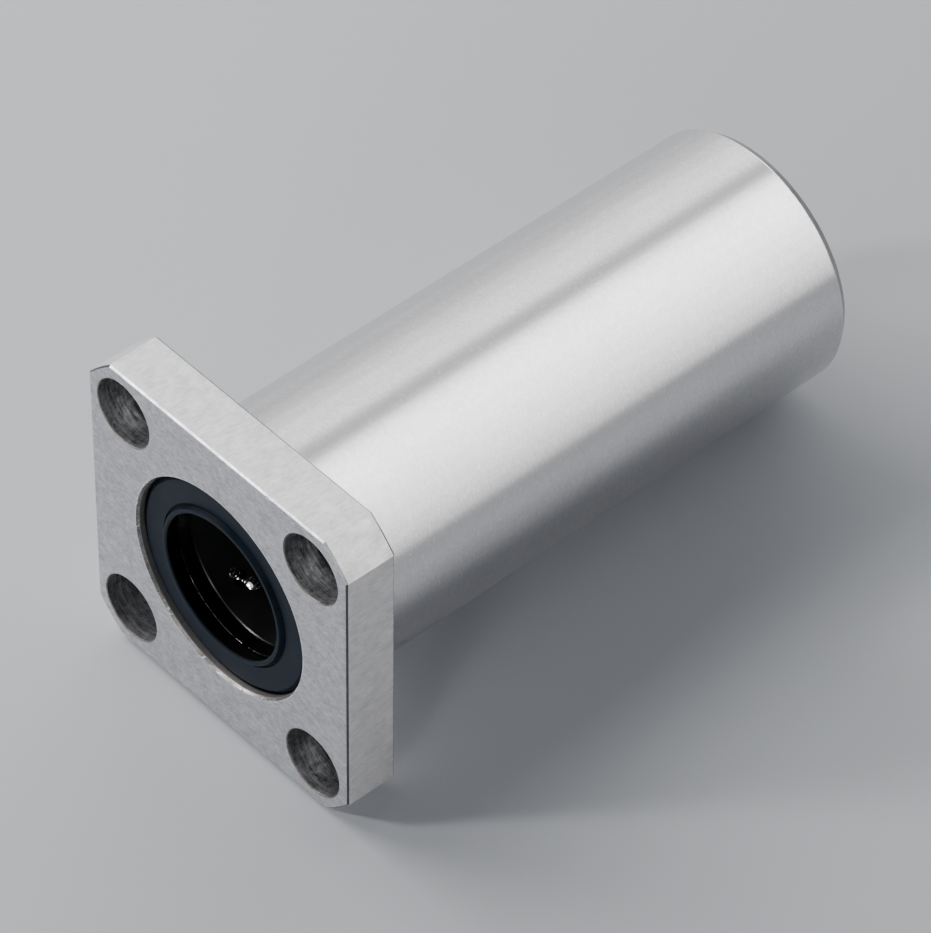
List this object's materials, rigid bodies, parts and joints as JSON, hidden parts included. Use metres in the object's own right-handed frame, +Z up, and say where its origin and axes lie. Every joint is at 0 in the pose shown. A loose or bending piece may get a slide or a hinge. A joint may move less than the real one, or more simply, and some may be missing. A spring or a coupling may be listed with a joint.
{
  "type": "square flange linear ball bearing, long body",
  "caption": "Long linear ball bearing with a square flange: caged recirculating balls guide a round shaft, lip seals close both ends, and counterbored holes fix it to a plate.",
  "frame": {"origin": "centre of the bore in the flange's seating face, on the barrel side", "axes": "+Y along the bore from the flange towards the far end of the barrel, +Z up, flange edges along X and Z"},
  "size_m": [0.037, 0.07, 0.037],
  "materials": {
    "ground_steel": "ground and satin, fine grinding lines",
    "ball_steel": "polished bearing steel",
    "cage_resin": "black moulded resin",
    "seal_rubber": "satin blue-black rubber",
    "spring_steel": "dark oiled spring steel"
  },
  "bodies": {
    "housing": {"flanged_sleeve": "ground_steel", "spacer_ring": "cage_resin", "front_end_seal": "seal_rubber", "front_retaining_ring": "spring_steel", "front_ball_cage": "cage_resin", "rear_end_seal": "seal_rubber", "rear_retaining_ring": "spring_steel", "rear_ball_cage": "cage_resin"},
    "loaded_rows": {"front_loaded_row_balls_1": "ball_steel", "front_loaded_row_balls_2": "ball_steel", "front_loaded_row_balls_3": "ball_steel", "front_loaded_row_balls_4": "ball_steel", "front_loaded_row_balls_5": "ball_steel", "rear_loaded_row_balls_1": "ball_steel", "rear_loaded_row_balls_2": "ball_steel", "rear_loaded_row_balls_3": "ball_steel", "rear_loaded_row_balls_4": "ball_steel", "rear_loaded_row_balls_5": "ball_steel"},
    "return_rows": {"front_return_row_balls_1": "ball_steel", "front_return_row_balls_2": "ball_steel", "front_return_row_balls_3": "ball_steel", "front_return_row_balls_4": "ball_steel", "front_return_row_balls_5": "ball_steel", "rear_return_row_balls_1": "ball_steel", "rear_return_row_balls_2": "ball_steel", "rear_return_row_balls_3": "ball_steel", "rear_return_row_balls_4": "ball_steel", "rear_return_row_balls_5": "ball_steel"},
    "front_near_turn_1": {"front_near_turn_balls_1": "ball_steel"},
    "front_near_turn_2": {"front_near_turn_balls_2": "ball_steel"},
    "front_near_turn_3": {"front_near_turn_balls_3": "ball_steel"},
    "front_near_turn_4": {"front_near_turn_balls_4": "ball_steel"},
    "front_near_turn_5": {"front_near_turn_balls_5": "ball_steel"},
    "front_far_turn_1": {"front_far_turn_balls_1": "ball_steel"},
    "front_far_turn_2": {"front_far_turn_balls_2": "ball_steel"},
    "front_far_turn_3": {"front_far_turn_balls_3": "ball_steel"},
    "front_far_turn_4": {"front_far_turn_balls_4": "ball_steel"},
    "front_far_turn_5": {"front_far_turn_balls_5": "ball_steel"},
    "rear_near_turn_1": {"rear_near_turn_balls_1": "ball_steel"},
    "rear_near_turn_2": {"rear_near_turn_balls_2": "ball_steel"},
    "rear_near_turn_3": {"rear_near_turn_balls_3": "ball_steel"},
    "rear_near_turn_4": {"rear_near_turn_balls_4": "ball_steel"},
    "rear_near_turn_5": {"rear_near_turn_balls_5": "ball_steel"},
    "rear_far_turn_1": {"rear_far_turn_balls_1": "ball_steel"},
    "rear_far_turn_2": {"rear_far_turn_balls_2": "ball_steel"},
    "rear_far_turn_3": {"rear_far_turn_balls_3": "ball_steel"},
    "rear_far_turn_4": {"rear_far_turn_balls_4": "ball_steel"},
    "rear_far_turn_5": {"rear_far_turn_balls_5": "ball_steel"}
  },
  "joints": [
    {"name": "loaded_rows_travel", "type": "slide", "parent": "housing", "child": "loaded_rows", "axis": [0, 1, 0], "range_m": [-0.00132, 0.00132]},
    {"name": "return_rows_travel", "type": "slide", "parent": "housing", "child": "return_rows", "axis": [0, 1, 0], "range_m": [-0.00132, 0.00132]},
    {"name": "front_near_turn_1_roll", "type": "hinge", "parent": "housing", "child": "front_near_turn_1", "pos_m": [-0.00619, 0.00297, -0.00732], "axis": [-0.4226, 0, -0.9063], "range_deg": [-30, 30]},
    {"name": "front_near_turn_2_roll", "type": "hinge", "parent": "housing", "child": "front_near_turn_2", "pos_m": [0.00505, 0.00297, -0.00815], "axis": [0.7314, 0, -0.682], "range_deg": [-30, 30]},
    {"name": "front_near_turn_3_roll", "type": "hinge", "parent": "housing", "child": "front_near_turn_3", "pos_m": [0.00931, 0.00297, 0.00228], "axis": [0.8746, 0, 0.4848], "range_deg": [-30, 30]},
    {"name": "front_near_turn_4_roll", "type": "hinge", "parent": "housing", "child": "front_near_turn_4", "pos_m": [0.00071, 0.00297, 0.00956], "axis": [-0.1908, 0, 0.9816], "range_deg": [-30, 30]},
    {"name": "front_near_turn_5_roll", "type": "hinge", "parent": "housing", "child": "front_near_turn_5", "pos_m": [-0.00887, 0.00297, 0.00363], "axis": [-0.9925, 0, 0.1219], "range_deg": [-30, 30]},
    {"name": "front_far_turn_1_roll", "type": "hinge", "parent": "housing", "child": "front_far_turn_1", "pos_m": [-0.00619, 0.02144, -0.00732], "axis": [-0.4226, 0, -0.9063], "range_deg": [-30, 30]},
    {"name": "front_far_turn_2_roll", "type": "hinge", "parent": "housing", "child": "front_far_turn_2", "pos_m": [0.00505, 0.02144, -0.00815], "axis": [0.7314, 0, -0.682], "range_deg": [-30, 30]},
    {"name": "front_far_turn_3_roll", "type": "hinge", "parent": "housing", "child": "front_far_turn_3", "pos_m": [0.00931, 0.02144, 0.00228], "axis": [0.8746, 0, 0.4848], "range_deg": [-30, 30]},
    {"name": "front_far_turn_4_roll", "type": "hinge", "parent": "housing", "child": "front_far_turn_4", "pos_m": [0.00071, 0.02144, 0.00956], "axis": [-0.1908, 0, 0.9816], "range_deg": [-30, 30]},
    {"name": "front_far_turn_5_roll", "type": "hinge", "parent": "housing", "child": "front_far_turn_5", "pos_m": [-0.00887, 0.02144, 0.00363], "axis": [-0.9925, 0, 0.1219], "range_deg": [-30, 30]},
    {"name": "rear_near_turn_1_roll", "type": "hinge", "parent": "housing", "child": "rear_near_turn_1", "pos_m": [-0.00619, 0.03656, -0.00732], "axis": [-0.4226, 0, -0.9063], "range_deg": [-30, 30]},
    {"name": "rear_near_turn_2_roll", "type": "hinge", "parent": "housing", "child": "rear_near_turn_2", "pos_m": [0.00505, 0.03656, -0.00815], "axis": [0.7314, 0, -0.682], "range_deg": [-30, 30]},
    {"name": "rear_near_turn_3_roll", "type": "hinge", "parent": "housing", "child": "rear_near_turn_3", "pos_m": [0.00931, 0.03656, 0.00228], "axis": [0.8746, 0, 0.4848], "range_deg": [-30, 30]},
    {"name": "rear_near_turn_4_roll", "type": "hinge", "parent": "housing", "child": "rear_near_turn_4", "pos_m": [0.00071, 0.03656, 0.00956], "axis": [-0.1908, 0, 0.9816], "range_deg": [-30, 30]},
    {"name": "rear_near_turn_5_roll", "type": "hinge", "parent": "housing", "child": "rear_near_turn_5", "pos_m": [-0.00887, 0.03656, 0.00363], "axis": [-0.9925, 0, 0.1219], "range_deg": [-30, 30]},
    {"name": "rear_far_turn_1_roll", "type": "hinge", "parent": "housing", "child": "rear_far_turn_1", "pos_m": [-0.00619, 0.05503, -0.00732], "axis": [-0.4226, 0, -0.9063], "range_deg": [-30, 30]},
    {"name": "rear_far_turn_2_roll", "type": "hinge", "parent": "housing", "child": "rear_far_turn_2", "pos_m": [0.00505, 0.05503, -0.00815], "axis": [0.7314, 0, -0.682], "range_deg": [-30, 30]},
    {"name": "rear_far_turn_3_roll", "type": "hinge", "parent": "housing", "child": "rear_far_turn_3", "pos_m": [0.00931, 0.05503, 0.00228], "axis": [0.8746, 0, 0.4848], "range_deg": [-30, 30]},
    {"name": "rear_far_turn_4_roll", "type": "hinge", "parent": "housing", "child": "rear_far_turn_4", "pos_m": [0.00071, 0.05503, 0.00956], "axis": [-0.1908, 0, 0.9816], "range_deg": [-30, 30]},
    {"name": "rear_far_turn_5_roll", "type": "hinge", "parent": "housing", "child": "rear_far_turn_5", "pos_m": [-0.00887, 0.05503, 0.00363], "axis": [-0.9925, 0, 0.1219], "range_deg": [-30, 30]}
  ],
  "couplings": [
    {"joint": "return_rows_travel", "follows": "loaded_rows_travel", "ratio": -1},
    {"joint": "front_near_turn_1_roll", "follows": "loaded_rows_travel", "rad_per_m": -396.83},
    {"joint": "front_near_turn_2_roll", "follows": "loaded_rows_travel", "rad_per_m": -396.83},
    {"joint": "front_near_turn_3_roll", "follows": "loaded_rows_travel", "rad_per_m": -396.83},
    {"joint": "front_near_turn_4_roll", "follows": "loaded_rows_travel", "rad_per_m": -396.83},
    {"joint": "front_near_turn_5_roll", "follows": "loaded_rows_travel", "rad_per_m": -396.83},
    {"joint": "front_far_turn_1_roll", "follows": "loaded_rows_travel", "rad_per_m": -396.83},
    {"joint": "front_far_turn_2_roll", "follows": "loaded_rows_travel", "rad_per_m": -396.83},
    {"joint": "front_far_turn_3_roll", "follows": "loaded_rows_travel", "rad_per_m": -396.83},
    {"joint": "front_far_turn_4_roll", "follows": "loaded_rows_travel", "rad_per_m": -396.83},
    {"joint": "front_far_turn_5_roll", "follows": "loaded_rows_travel", "rad_per_m": -396.83},
    {"joint": "rear_near_turn_1_roll", "follows": "loaded_rows_travel", "rad_per_m": -396.83},
    {"joint": "rear_near_turn_2_roll", "follows": "loaded_rows_travel", "rad_per_m": -396.83},
    {"joint": "rear_near_turn_3_roll", "follows": "loaded_rows_travel", "rad_per_m": -396.83},
    {"joint": "rear_near_turn_4_roll", "follows": "loaded_rows_travel", "rad_per_m": -396.83},
    {"joint": "rear_near_turn_5_roll", "follows": "loaded_rows_travel", "rad_per_m": -396.83},
    {"joint": "rear_far_turn_1_roll", "follows": "loaded_rows_travel", "rad_per_m": -396.83},
    {"joint": "rear_far_turn_2_roll", "follows": "loaded_rows_travel", "rad_per_m": -396.83},
    {"joint": "rear_far_turn_3_roll", "follows": "loaded_rows_travel", "rad_per_m": -396.83},
    {"joint": "rear_far_turn_4_roll", "follows": "loaded_rows_travel", "rad_per_m": -396.83},
    {"joint": "rear_far_turn_5_roll", "follows": "loaded_rows_travel", "rad_per_m": -396.83}
  ]
}
